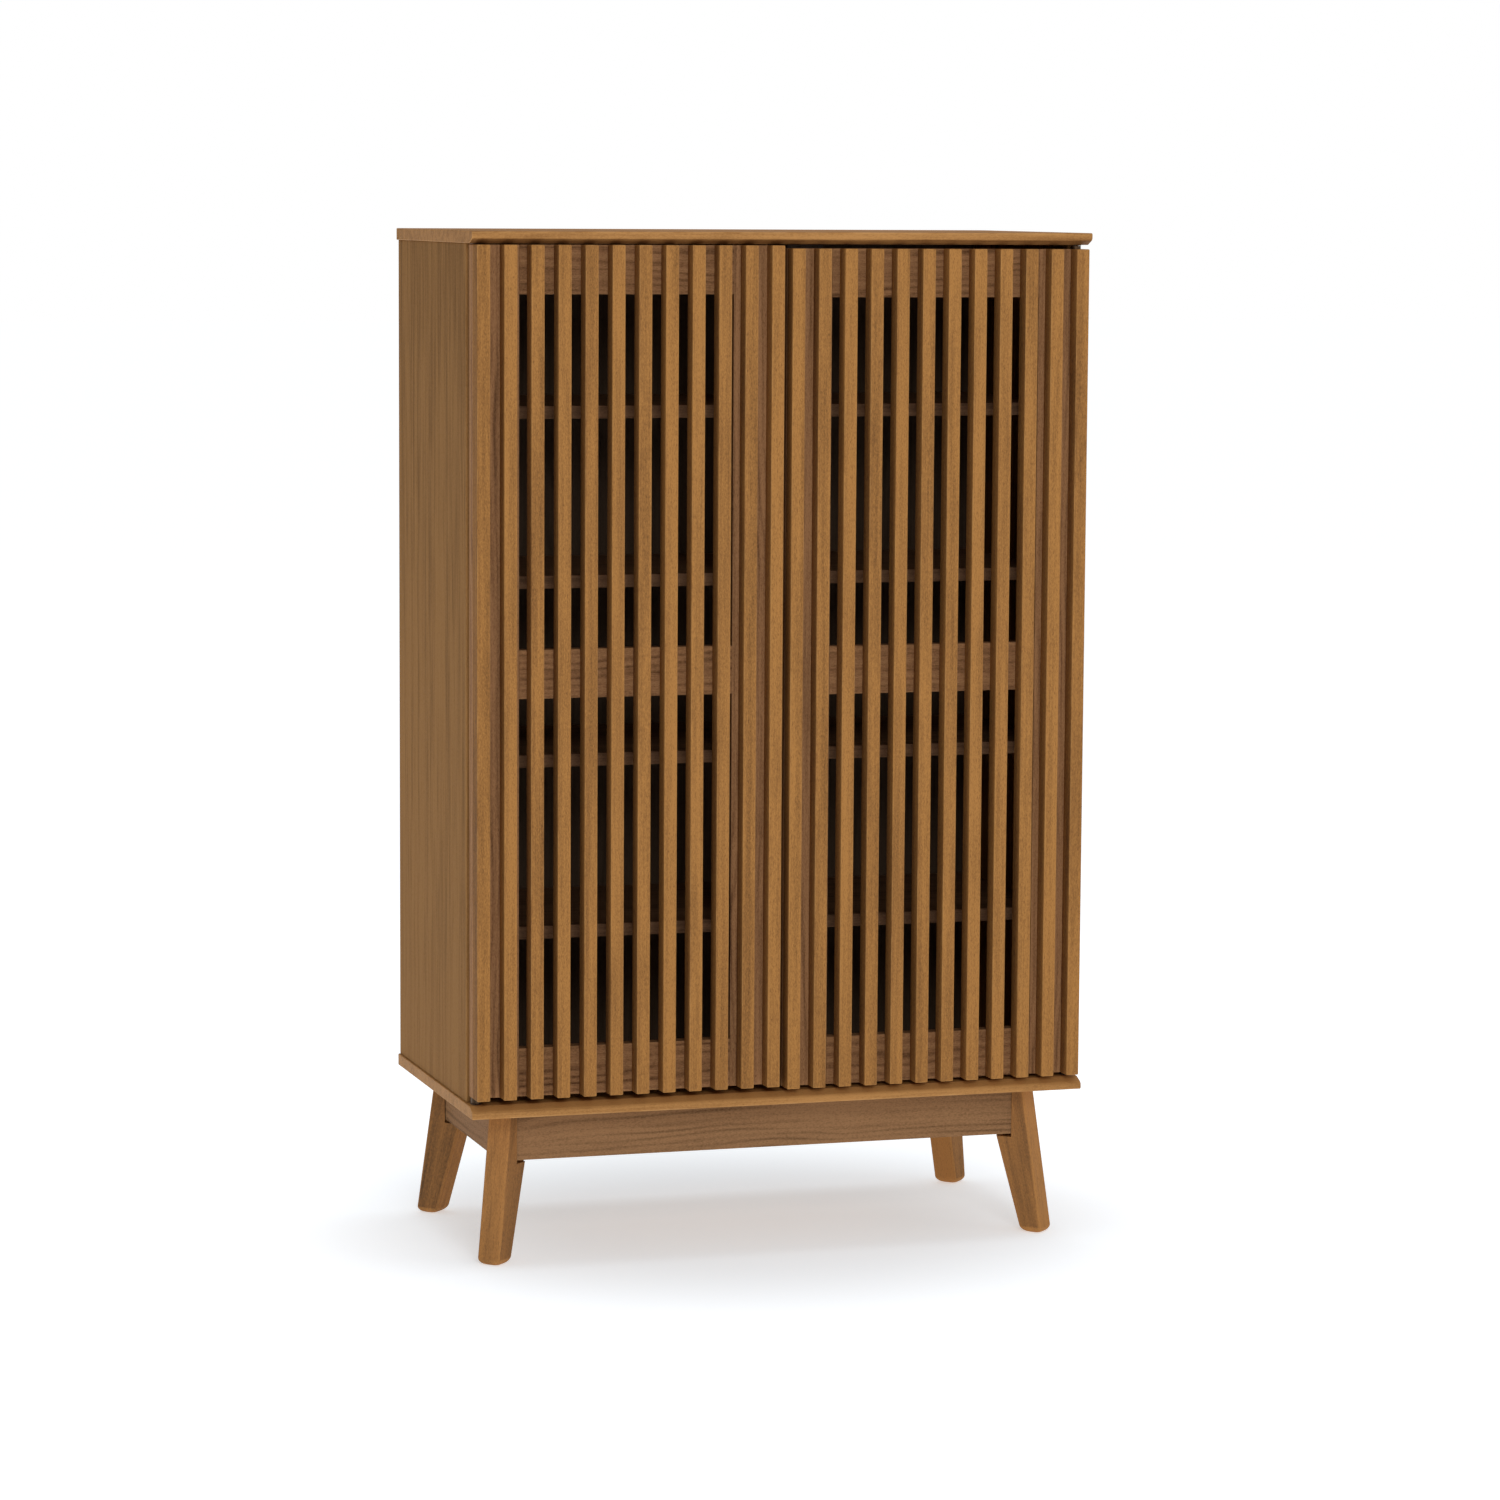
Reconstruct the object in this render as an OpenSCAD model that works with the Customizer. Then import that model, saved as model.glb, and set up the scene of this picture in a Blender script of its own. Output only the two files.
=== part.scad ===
// Slatted two-door shoe cabinet on splayed corner legs.
// X runs across the width, Y from the front to the back and Z up. The origin is on the floor,
// midway across the width and midway between the slat fronts and the back.

/* [Case] */
// Overall width, across the top panel
cabinet_w = 750; // [700:10:900]
// Overall depth, from the slat fronts to the back
cabinet_d = 380; // [360:10:440]
// Overall height, from the floor to the top
cabinet_h = 1200; // [1180:10:1300]
// Height of the underside of the case above the floor
base_h = 180.5; // [170:0.5:200]
// Thickness of the top and bottom panels
panel_t = 14; // [14:1:18]
// Thickness of the side panels and the shelves
board_t = 15; // [15:1:18]
// Thickness of the back panel
back_t = 4; // [3:1:6]
// How far the top and bottom panels stand out past each side panel
side_overhang = 2.5; // [1:0.5:4]
// How far the front edges of the top and bottom panels lie behind the slat fronts
edge_setback = 4; // [2:1:8]
// Height of the upright part of a front edge
edge_face_h = 8.2; // [5:0.1:12]
// Depth of the bevel on a front edge
edge_bevel_d = 14; // [6:1:20]

/* [Shelves] */
// Height of the middle of each shelf above the floor
shelf_heights = [387, 588, 796, 992]; // [260:1:1100]
// How far the shelf fronts lie behind the side panel fronts
shelf_setback = 20; // [5:1:60]
// Diameter of a shelf pin
shelf_pin_d = 5; // [4:0.5:6]
// Distance from one pin hole to the next one above it
hole_pitch = 32; // [25:1:32]

/* [Doors] */
// Number of slats on a door
slat_count = 12; // [8:1:12]
// Width of a slat
slat_w = 15.5; // [10:0.5:20]
// Depth of a slat, from front to back
slat_d = 22; // [15:1:24]
// Thickness of the door frame behind the slats
frame_t = 18; // [16:1:20]
// Width of a door stile
stile_w = 55; // [45:1:70]
// Height of a door rail
rail_h = 56.5; // [45:0.5:80]
// Gap between the two doors
door_seam = 9.4; // [4:0.2:12]
// How far a door's outer edge lies inside the end of the top panel
door_inset = 5; // [4:0.5:8]
// Gap between the back of a door and the side panel behind it
door_back_gap = 3.3; // [2.5:0.1:5]
// Total play above and below a door
door_play = 9; // [8.8:0.1:12]
// Height of the left door above the bottom panel
left_lift = 7.7; // [3:0.1:7.7]
// Height of the right door above the bottom panel
right_lift = 4.2; // [3:0.1:7.7]

/* [Pivots] */
// Diameter of a pivot pin
pivot_d = 5; // [4:0.5:6]
// Distance from a door's outer edge to its pivot axis
pivot_inset = 6; // [5:0.5:8]
// Radial clearance of a pin in its bush
pivot_clearance = 0.05; // [0.02:0.01:0.1]

/* [Base] */
// Width of a leg across the diagonal
leg_w = 30; // [24:1:36]
// Thickness of a leg at the foot, along the diagonal
leg_foot_t = 28; // [20:1:34]
// Thickness of a leg at the top, along the diagonal
leg_top_t = 54; // [50:1:60]
// How far a foot stands out past the top of its leg, along the diagonal
leg_splay = 28; // [10:1:40]
// Distance from the end of the top panel to the middle of a foot's outer face
foot_inset = 27.5; // [20:0.5:60]
// Distance between the outer faces of the front and back feet
foot_span_d = 328; // [300:1:328]
// Thickness of an apron
apron_t = 15; // [12:1:18]
// Height of an apron
apron_h = 61.5; // [50:0.5:70]

/* [Hidden] */
$fn = 48;

slat_numbers = [1:slat_count];
door_sides = ["left", "right"];

// Colours of the wood and the fittings
panel_wood = "#a87645";
side_wood = "#8c6a47";
slat_wood = "#a67846";
frame_wood = "#6e503a";
shelf_wood = "#7a5638";
base_wood = "#876446";
leg_wood = "#a5703c";
dowel_wood = "#c8a878";
steel = "#b0b2b4";
bronzed_steel = "#4a3a2c";
brown_nylon = "#3c2a1e";

// The case
front_y = -cabinet_d / 2;
back_y = cabinet_d / 2;
floor_of_case = base_h + panel_t;
roof_of_case = cabinet_h - panel_t;
opening_h = roof_of_case - floor_of_case;
side_x = cabinet_w / 2 - side_overhang;
side_front_y = front_y + slat_d + frame_t + door_back_gap;
bevel_h = panel_t - edge_face_h;

// The back panel runs in a groove in the four boards around it
groove_depth = 6;
groove_play = 0.1;
back_inset = 8;
back_panel_y = back_y - back_inset - back_t;

// Wooden dowels between the side panels and the top and bottom panels
dowel_d = 8;
dowel_len = 30;
dowel_in_panel = 10;
dowel_rows = [-0.35, 0, 0.35];
dowel_fit = 0.05;

// The shelves rest on pins, with a spare hole above and below each
shelf_play = 0.5;
shelf_back_play = 1;
pin_len = 18;
pin_depth = 10;
pin_inset = 45;
pin_fit = 0.05;

// The doors
door_span = cabinet_w - 2 * door_inset;
door_w = (door_span - door_seam) / 2;
door_h = opening_h - door_play;
slat_pitch = (door_w - slat_w) / (slat_count - 1);
tenon_len = 12;
tenon_t = 8;
tenon_shoulder = 7;
tenon_fit = 0.05;

// The pivot pins, their collars and the bushes in which they turn
pivot_y = slat_d + frame_t / 2;
pin_in_door = 20;
pin_in_bush = 9;
collar_d = 12;
least_collar = 1;
bush_d = 9;
bush_depth = 10;
flange_d = 13;
flange_t = 0.8;
axial_play = 0.3;

// The magnet catches and the plates that they hold
catch_size = [44, 12, 12];
catch_edge = 10;
catch_gap = 0.3;
strike_size = [36, 1, 12];
strike_edge = 9.3;
strike_drop = 2;

// The base: its centre lies behind the middle of the case, and the rear feet end at the back
diagonal = sqrt(2);
base_y = back_y - foot_span_d / 2 - leg_w / (2 * diagonal);
apron_x = cabinet_w / 2 - foot_inset - leg_splay / diagonal;
apron_y = foot_span_d / 2 - leg_splay / diagonal;
apron_z = base_h - apron_h;
apron_gap = 0.5;
housing_side = 1;
housing_below = 4;
block_t = 20;
block_h = 40;
block_gap = 0.2;
block_start = leg_top_t + block_gap;
bolt_d = 6;
bolt_start = 30;
bolt_len = 53;
bolt_drop = 23;
bolt_z = base_h - bolt_drop;
washer_d = 16;
washer_t = 1.5;
nut_d = 11;
nut_t = 5;
screw_d = 4;
screw_head_d = 8;
screw_head_t = 2.5;
screw_in_panel = 12;
screw_offset = 22;

// How far a bore runs out past the face that it opens in
past = 1;

function lift_of(side) = side == "left" ? left_lift : right_lift;
function rail_z(place) =
    place == "bottom" ? 0 : place == "middle" ? (door_h - rail_h) / 2 : door_h - rail_h;

// ---- placing ----

// Puts the left-hand shape on the left side, or mirrored on the right
module on_side(side) {
    mirror([side == "right" ? 1 : 0, 0, 0]) children();
}

// Door coordinates: x from the outer edge to the seam, y from the slat fronts, z from the door's foot
module in_door(side) {
    on_side(side)
        translate([-door_span / 2, front_y, floor_of_case + lift_of(side)]) children();
}

// Base coordinates at a corner of the apron frame, with x and y running inwards from it
module at_corner(side, end) {
    on_side(side)
        translate([0, base_y, 0])
            mirror([0, end == "back" ? 1 : 0, 0])
                translate([-apron_x, -apron_y, 0]) children();
}

module at_every_corner() {
    for (side = door_sides, end = ["front", "back"]) at_corner(side, end) children();
}

// ---- case ----

// Outline of the top panel from the side, lying on z = 0 with the bevel underneath
module panel_outline() {
    polygon([
        [front_y + edge_setback, panel_t],
        [front_y + edge_setback, bevel_h],
        [front_y + edge_setback + edge_bevel_d, 0],
        [back_y, 0],
        [back_y, panel_t]
    ]);
}

module panel_blank() {
    translate([-cabinet_w / 2, 0, 0])
        rotate([90, 0, 90]) linear_extrude(height = cabinet_w) panel_outline();
}

// The space that the back panel takes, with the given play around it
module back_panel_space(play) {
    w = 2 * (side_x - board_t + groove_depth);
    h = opening_h + 2 * groove_depth;
    translate([-w / 2 - play, back_panel_y - play, floor_of_case - groove_depth - play])
        cube([w + 2 * play, back_t + 2 * play, h + 2 * play]);
}

module dowels(play) {
    x = side_x - board_t / 2;
    middle_y = (side_front_y + back_y) / 2;
    low_z = floor_of_case - dowel_in_panel;
    high_z = roof_of_case + dowel_in_panel - dowel_len;
    for (side = [-1, 1], row = dowel_rows, z = [low_z, high_z])
        translate([side * x, middle_y + row * cabinet_d, z])
            cylinder(d = dowel_d + 2 * play, h = dowel_len);
}

// Bores for the four bushes, at the left and right ends of the top and bottom panels
module bush_places() {
    for (side = door_sides)
        on_side(side)
            translate([-door_span / 2 + pivot_inset, front_y + pivot_y, 0]) {
                translate([0, 0, floor_of_case]) children();
                translate([0, 0, roof_of_case]) mirror([0, 0, 1]) children();
            }
}

module bush_bores() {
    bush_places() translate([0, 0, -bush_depth]) cylinder(d = bush_d, h = bush_depth + past);
}

module top_panel() {
    color(panel_wood) difference() {
        translate([0, 0, roof_of_case]) panel_blank();
        back_panel_space(groove_play);
        dowels(dowel_fit);
        bush_bores();
    }
}

module bottom_panel() {
    color(panel_wood) difference() {
        translate([0, 0, floor_of_case]) mirror([0, 0, 1]) panel_blank();
        back_panel_space(groove_play);
        dowels(dowel_fit);
        bush_bores();
        base_screws();
    }
}

// Places of the shelf pins on one side panel, for the shelf heights given
module pin_places(heights) {
    for (z = heights, y = [side_front_y + shelf_setback + pin_inset, back_panel_y - pin_inset])
        translate([-side_x + board_t - pin_depth, y, z - board_t / 2 - shelf_pin_d / 2])
            rotate([0, 90, 0]) children();
}

module side_panel(side) {
    hole_heights = [for (z = shelf_heights, step = [-1, 0, 1]) z + step * hole_pitch];
    color(side_wood) difference() {
        on_side(side)
            translate([-side_x, side_front_y, floor_of_case])
                cube([board_t, back_y - side_front_y, opening_h]);
        back_panel_space(groove_play);
        dowels(dowel_fit);
        on_side(side) pin_places(hole_heights)
            cylinder(d = shelf_pin_d + 2 * pin_fit, h = pin_depth + past);
    }
}

module back_panel() {
    color(shelf_wood) back_panel_space(0);
}

module case_dowels() {
    color(dowel_wood) dowels(0);
}

module shelf(number) {
    w = 2 * (side_x - board_t - shelf_play);
    y = side_front_y + shelf_setback;
    color(shelf_wood)
        translate([-w / 2, y, shelf_heights[number - 1] - board_t / 2])
            cube([w, back_panel_y - shelf_back_play - y, board_t]);
}

module shelf_pins() {
    color(steel)
        for (side = door_sides)
            on_side(side) pin_places(shelf_heights) cylinder(d = shelf_pin_d, h = pin_len);
}

// ---- doors ----

module pivot_bush() {
    bore = pivot_d + 2 * pivot_clearance;
    difference() {
        union() {
            translate([0, 0, -bush_depth]) cylinder(d = bush_d, h = bush_depth);
            cylinder(d = flange_d, h = flange_t);
        }
        translate([0, 0, -bush_depth - past])
            cylinder(d = bore, h = bush_depth + flange_t + 2 * past);
    }
}

module pivot_bushes() {
    color(brown_nylon) bush_places() pivot_bush();
}

module magnet_catches() {
    y = side_front_y - door_back_gap + strike_size[1] + catch_gap;
    color(brown_nylon)
        for (side = door_sides)
            on_side(side)
                translate([-catch_edge - catch_size[0], y, roof_of_case - catch_size[2]]) cube(catch_size);
}

// The tenons of one rail, which reach into both stiles
module tenons(place, play) {
    x = stile_w - tenon_len - play;
    y = slat_d + (frame_t - tenon_t) / 2 - play;
    z = rail_z(place) + tenon_shoulder - play;
    len_x = door_w - 2 * stile_w + 2 * (tenon_len + play);
    translate([x, y, z]) cube([len_x, tenon_t + 2 * play, rail_h - 2 * (tenon_shoulder - play)]);
}

// One pivot pin with its collar, standing on the end of the door and reaching into the bush
module pivot_pin(gap) {
    collar_t = gap - flange_t - axial_play;
    translate([0, 0, -pin_in_door]) cylinder(d = pivot_d, h = pin_in_door + gap + pin_in_bush);
    if (collar_t > least_collar) cylinder(d = collar_d, h = collar_t);
}

module pivot_bores() {
    for (z = [-past, door_h - pin_in_door])
        translate([pivot_inset, pivot_y, z]) cylinder(d = pivot_d, h = pin_in_door + past);
}

module door_stile(side, x) {
    color(frame_wood) in_door(side) difference() {
        translate([x, slat_d, 0]) cube([stile_w, frame_t, door_h]);
        for (place = ["top", "middle", "bottom"]) tenons(place, tenon_fit);
        pivot_bores();
    }
}

module door_rail(side, place) {
    color(frame_wood) in_door(side) {
        translate([stile_w, slat_d, rail_z(place)]) cube([door_w - 2 * stile_w, frame_t, rail_h]);
        tenons(place, 0);
    }
}

module door_slat(side, number) {
    color(slat_wood) in_door(side)
        translate([(number - 1) * slat_pitch, 0, 0]) cube([slat_w, slat_d, door_h]);
}

module door_hardware(side) {
    gap_below = lift_of(side);
    gap_above = door_play - gap_below;
    strike_x = door_w - strike_edge - strike_size[0];
    strike_z = door_h - strike_drop - strike_size[2];
    color(bronzed_steel) in_door(side) {
        translate([pivot_inset, pivot_y, door_h]) pivot_pin(gap_above);
        translate([pivot_inset, pivot_y, 0]) mirror([0, 0, 1]) pivot_pin(gap_below);
        translate([strike_x, slat_d + frame_t, strike_z]) cube(strike_size);
    }
}

// ---- base ----

// A front or back apron, grown sideways and downwards by the given play
module long_apron(end, side_play, play_below) {
    half = apron_x - apron_t - apron_gap + side_play;
    translate([0, base_y, 0])
        mirror([0, end == "back" ? 1 : 0, 0])
            translate([-half, -apron_y - side_play, apron_z - play_below])
                cube([2 * half, apron_t + 2 * side_play, apron_h + 2 * play_below]);
}

// A left or right apron, grown in the same way
module short_apron(side, side_play, play_below) {
    half = apron_y - apron_t - apron_gap + side_play;
    on_side(side)
        translate([-apron_x - side_play, base_y - half, apron_z - play_below])
            cube([apron_t + 2 * side_play, 2 * half, apron_h + 2 * play_below]);
}

module apron(place) {
    color(base_wood)
        if (place == "front" || place == "back") long_apron(place, 0, 0);
        else short_apron(place, 0, 0);
}

// The leg seen from the side, splayed outwards and tapered from the top to the foot
module leg_outline() {
    polygon([[-leg_splay, 0], [leg_foot_t - leg_splay, 0], [leg_top_t, base_h], [0, base_h]]);
}

// Along the corner's diagonal, x runs inwards from the corner of the apron frame
module along_diagonal() {
    rotate([0, 0, 45]) children();
}

module leg_bolt() {
    along_diagonal() translate([bolt_start, 0, bolt_z])
        rotate([0, 90, 0]) cylinder(d = bolt_d, h = bolt_len);
}

module leg(end, side) {
    color(leg_wood) difference() {
        at_corner(side, end) along_diagonal()
            rotate([90, 0, 0]) linear_extrude(height = leg_w, center = true) leg_outline();
        long_apron(end, housing_side, housing_below);
        short_apron(side, housing_side, housing_below);
        at_corner(side, end) leg_bolt();
    }
}

module corner_block() {
    near = block_start * diagonal - apron_t;
    far = (block_start + block_t) * diagonal - apron_t;
    translate([0, 0, base_h - block_h]) linear_extrude(height = block_h)
        polygon([[near, apron_t], [far, apron_t], [apron_t, far], [apron_t, near]]);
}

module corner_blocks() {
    color(dowel_wood) difference() {
        at_every_corner() corner_block();
        at_every_corner() leg_bolt();
        base_screws();
    }
}

// The screws that hold the corner blocks under the bottom panel
module base_screws() {
    at_every_corner() along_diagonal()
        for (offset = [-screw_offset, screw_offset])
            translate([block_start + block_t / 2, offset, base_h - block_h])
                cylinder(d = screw_d, h = block_h + screw_in_panel);
}

module base_fasteners() {
    color(steel) {
        base_screws();
        at_every_corner() leg_bolt();
        at_every_corner() along_diagonal() {
            for (offset = [-screw_offset, screw_offset])
                translate([block_start + block_t / 2, offset, base_h - block_h - screw_head_t])
                    cylinder(d = screw_head_d, h = screw_head_t);
            translate([block_start + block_t, 0, bolt_z]) rotate([0, 90, 0]) {
                cylinder(d = washer_d, h = washer_t);
                translate([0, 0, washer_t]) cylinder(d = nut_d, h = nut_t, $fn = 6);
            }
        }
    }
}

// ---- the pieces ----

top_panel();
bottom_panel();
side_panel("left");  // side_panel_left
side_panel("right");  // side_panel_right
back_panel();
for (i = [1:len(shelf_heights)])
    shelf(i);
shelf_pins();
case_dowels();
for (place = ["front", "back", "left", "right"])
    apron(place);
for (end = ["front", "back"], side = door_sides)
    leg(end, side);
corner_blocks();
base_fasteners();
pivot_bushes();
magnet_catches();
for (side = door_sides) {
    door_stile(side, 0);
    door_stile(side, door_w - stile_w);
    door_hardware(side);
}
for (side = door_sides, place = ["top", "middle", "bottom"])
    door_rail(side, place);
for (side = door_sides, i = slat_numbers)
    door_slat(side, i);
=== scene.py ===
import math

import bmesh
import bpy
import numpy as np
from mathutils import Matrix, Vector


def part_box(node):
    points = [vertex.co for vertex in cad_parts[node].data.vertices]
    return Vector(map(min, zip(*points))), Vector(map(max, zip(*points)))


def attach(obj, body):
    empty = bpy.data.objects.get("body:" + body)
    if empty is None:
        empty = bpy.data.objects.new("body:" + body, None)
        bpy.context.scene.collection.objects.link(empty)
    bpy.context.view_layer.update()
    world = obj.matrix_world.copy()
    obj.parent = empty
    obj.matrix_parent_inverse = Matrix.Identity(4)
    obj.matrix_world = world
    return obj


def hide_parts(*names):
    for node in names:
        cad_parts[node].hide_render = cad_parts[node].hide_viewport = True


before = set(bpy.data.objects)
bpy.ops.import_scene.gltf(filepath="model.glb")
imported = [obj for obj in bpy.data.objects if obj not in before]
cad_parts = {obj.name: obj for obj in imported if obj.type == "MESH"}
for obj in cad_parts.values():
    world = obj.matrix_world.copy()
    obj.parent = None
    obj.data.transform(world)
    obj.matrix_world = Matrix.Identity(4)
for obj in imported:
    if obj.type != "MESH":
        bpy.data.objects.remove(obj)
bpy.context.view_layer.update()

scene = bpy.context.scene
MM = 0.001
SIDES = ("left", "right")
RAILS = ("top", "middle", "bottom")
SLATS = sum(name.startswith("door_left_slat_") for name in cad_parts)
SHELVES = sum(name.startswith("shelf_") and name != "shelf_pins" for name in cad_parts)

# Radii of the sanded edges
SLAT_ROUND = 1.3 * MM
FRAME_ROUND = 0.9 * MM
PANEL_ROUND = 1.0 * MM
BACK_ROUND = 0.4 * MM
NOSE_ROUND = 2.2 * MM
CREASE_ROUND = 5.0 * MM
LEG_ROUND = 3.0 * MM
FOOT_ROUND = 8.0 * MM
FOOT_CORNER = 6.0 * MM


# ---- shader node helpers ----

class Nodes:
    """Makes and links the nodes of one tree."""

    def __init__(self, tree):
        self.tree = tree

    def add(self, kind, inputs=None, **settings):
        node = self.tree.nodes.new(kind)
        for name, value in settings.items():
            setattr(node, name, value)
        for key, value in (inputs or {}).items():
            socket = node.inputs[key]
            if isinstance(value, bpy.types.NodeSocket):
                self.tree.links.new(value, socket)
            else:
                socket.default_value = value
        return node

    def math(self, operation, a, b=0.0, clamp=False):
        return self.add("ShaderNodeMath", {0: a, 1: b}, operation=operation, use_clamp=clamp).outputs[0]

    def mix_colour(self, factor, a, b):
        node = self.add("ShaderNodeMix", data_type="RGBA", blend_type="MIX", clamp_factor=True)
        for index, value in ((0, factor), (6, a), (7, b)):
            if isinstance(value, bpy.types.NodeSocket):
                self.tree.links.new(value, node.inputs[index])
            else:
                node.inputs[index].default_value = value
        return node.outputs[2]

    def scaled(self, vector, scale):
        node = self.add("ShaderNodeVectorMath", {0: vector}, operation="MULTIPLY")
        node.inputs[1].default_value = scale
        return node.outputs[0]

    def noise(self, vector, scale, detail, roughness=0.5):
        inputs = {"Vector": vector, "Scale": scale, "Detail": detail, "Roughness": roughness}
        return self.add("ShaderNodeTexNoise", inputs).outputs["Fac"]

    def grain(self, board, features, detail, roughness):
        """Noise with so many features a metre along the board and across it each way."""
        return self.noise(self.scaled(board, features), 1.0, detail, roughness)

    def centred(self, value, amount):
        """The value's swing about one half, times an amount."""
        return self.math("MULTIPLY", self.math("SUBTRACT", value, 0.5), amount)

    def ramp(self, value, low, high):
        """0 below low and 1 above high, with a smooth step between."""
        inputs = {"Value": value, "From Min": low, "From Max": high}
        return self.add("ShaderNodeMapRange", inputs, interpolation_type="SMOOTHSTEP").outputs[0]


def new_group(name, inputs, outputs):
    """A shader node group with named sockets, and its nodes. Each socket is (name, type, default)."""
    tree = bpy.data.node_groups.new(name, "ShaderNodeTree")
    for label, kind, default in inputs:
        socket = tree.interface.new_socket(label, in_out="INPUT", socket_type="NodeSocket" + kind)
        if default is not None:
            socket.default_value = default
    for label, kind in outputs:
        tree.interface.new_socket(label, in_out="OUTPUT", socket_type="NodeSocket" + kind)
    nodes = Nodes(tree)
    return nodes, nodes.add("NodeGroupInput").outputs, nodes.add("NodeGroupOutput").inputs


# ---- wood ----

# How many features each kind of grain has in a metre: along the board and across it each way
RING_WARP = (1.6, 9.0, 9.0)
RING_FADE = (4.0, 30.0, 30.0)
WIDE_STREAKS = (3.0, 90.0, 90.0)
NARROW_STREAKS = (9.0, 420.0, 420.0)
FIBRES = (60.0, 1500.0, 1500.0)
PORES = (240.0, 2000.0, 2000.0)
SPECKLE = (330.0, 620.0, 620.0)
BLOTCHES = (5.0, 12.0, 12.0)
RUBBED = (35.0, 120.0, 120.0)

# The warp's shift in rings, how thin the dark part of each ring is, and how the rings slant
WARP_RINGS = 9.0
LATE_WOOD = 2.2
RING_SLANT = 0.8

# How much each kind of grain darkens the wood
RING_DARK = 0.55
WIDE_DARK = 0.55
NARROW_DARK = 0.45
FIBRE_DARK = 0.35
BLOTCH_DARK = 0.45
SPECKLE_DARK = 1.4
TONE_DARK = 0.10
PORE_DARK = 0.75

# How far roughness swings with the streaks and the pores, and the heights of the relief's parts
ROUGH_SWING = 0.18
FIBRE_HEIGHT = 0.35
PORE_DEPTH = 0.8
RING_DEPTH = 0.15
WOOD_BUMP = 0.25
WOOD_RELIEF = 0.15 * MM


def make_wood_group():
    """Stained wood in board coordinates: x along the grain, y and z across it, in metres."""
    inputs = [
        ("Board", "Vector", None), ("Tone", "Float", 0.0), ("Edge", "Float", 0.0),
        ("Light", "Color", (0.5, 0.3, 0.15, 1)), ("Dark", "Color", (0.2, 0.1, 0.05, 1)),
        ("Worn", "Color", (0.7, 0.5, 0.3, 1)), ("Figure", "Float", 0.5), ("Streaks", "Float", 0.5),
        ("Pores", "Float", 0.5), ("Wear", "Float", 0.3), ("Sheen", "Float", 0.45),
        ("Rings", "Float", 55.0),
    ]
    outputs = [("Colour", "Color"), ("Roughness", "Float"), ("Height", "Float")]
    n, i, o = new_group("stained_wood", inputs, outputs)
    board = i["Board"]

    # Growth rings cut along the board: a slow warp of the distance from the pith makes the arches
    warp = n.grain(board, RING_WARP, 3.0, 0.55)
    across = n.add("ShaderNodeSeparateXYZ", {0: board}).outputs
    slant = n.math("ADD", across[1], n.math("MULTIPLY", across[2], RING_SLANT))
    ring_place = n.math("ADD", n.math("MULTIPLY", slant, i["Rings"]), n.math("MULTIPLY", warp, WARP_RINGS))
    wave = n.math("SINE", n.math("MULTIPLY", ring_place, math.tau))
    rings = n.math("ADD", n.math("MULTIPLY", wave, 0.5), 0.5)
    fade = n.ramp(n.grain(board, RING_FADE, 2.0, 0.6), 0.32, 0.68)
    rings = n.math("MULTIPLY", n.math("POWER", rings, LATE_WOOD), n.math("MULTIPLY", fade, i["Figure"]))

    # Long straight streaks of two widths, and fine fibres
    wide = n.grain(board, WIDE_STREAKS, 3.0, 0.6)
    narrow = n.grain(board, NARROW_STREAKS, 3.0, 0.6)
    fibre = n.grain(board, FIBRES, 2.0, 0.6)
    wide_part = n.math("MULTIPLY", n.ramp(wide, 0.36, 0.68), WIDE_DARK)
    narrow_part = n.math("MULTIPLY", n.ramp(narrow, 0.34, 0.70), NARROW_DARK)
    streaks = n.math("MULTIPLY", n.math("ADD", wide_part, narrow_part), i["Streaks"])

    # Open pores: short dark dashes along the grain
    pores = n.math("MULTIPLY", n.ramp(n.grain(board, PORES, 1.0, 0.4), 0.58, 0.74), i["Pores"])

    # Grainy speckle, stain that lies unevenly, and the board's tone as a whole, with painted light and
    # shade in it on some faces
    speckle = n.centred(n.grain(board, SPECKLE, 2.0, 0.7), i["Pores"])
    blotch = n.grain(board, BLOTCHES, 3.0, 0.6)
    dark = n.math("ADD", n.math("MULTIPLY", rings, RING_DARK), streaks)
    dark = n.math("ADD", dark, n.centred(fibre, FIBRE_DARK))
    dark = n.math("ADD", dark, n.centred(blotch, BLOTCH_DARK))
    dark = n.math("ADD", dark, n.math("MULTIPLY", speckle, SPECKLE_DARK))
    dark = n.math("ADD", dark, n.math("MULTIPLY", i["Tone"], TONE_DARK), clamp=True)
    colour = n.mix_colour(dark, i["Light"], i["Dark"])
    colour = n.mix_colour(n.math("MULTIPLY", pores, PORE_DARK), colour, i["Dark"])

    # Stain rubbed thin along the edges
    rub = n.grain(board, RUBBED, 3.0, 0.6)
    worn = n.math("MULTIPLY", i["Edge"], n.ramp(rub, 0.35, 0.65))
    worn = n.math("MULTIPLY", worn, i["Wear"])
    colour = n.mix_colour(worn, colour, i["Worn"])

    # Pores and dark streaks are rougher, and pores and rings lie a little deeper
    rough = n.math("ADD", i["Sheen"], n.centred(narrow, ROUGH_SWING))
    rough = n.math("ADD", rough, n.math("MULTIPLY", pores, ROUGH_SWING), clamp=True)
    fibres_up = n.math("MULTIPLY", fibre, FIBRE_HEIGHT)
    height = n.math("SUBTRACT", fibres_up, n.math("MULTIPLY", pores, PORE_DEPTH))
    height = n.math("SUBTRACT", height, n.math("MULTIPLY", rings, RING_DEPTH))
    for label, value in (("Colour", colour), ("Roughness", rough), ("Height", height)):
        n.tree.links.new(value, o[label])
    return n.tree


WOOD_GROUP = make_wood_group()


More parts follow.
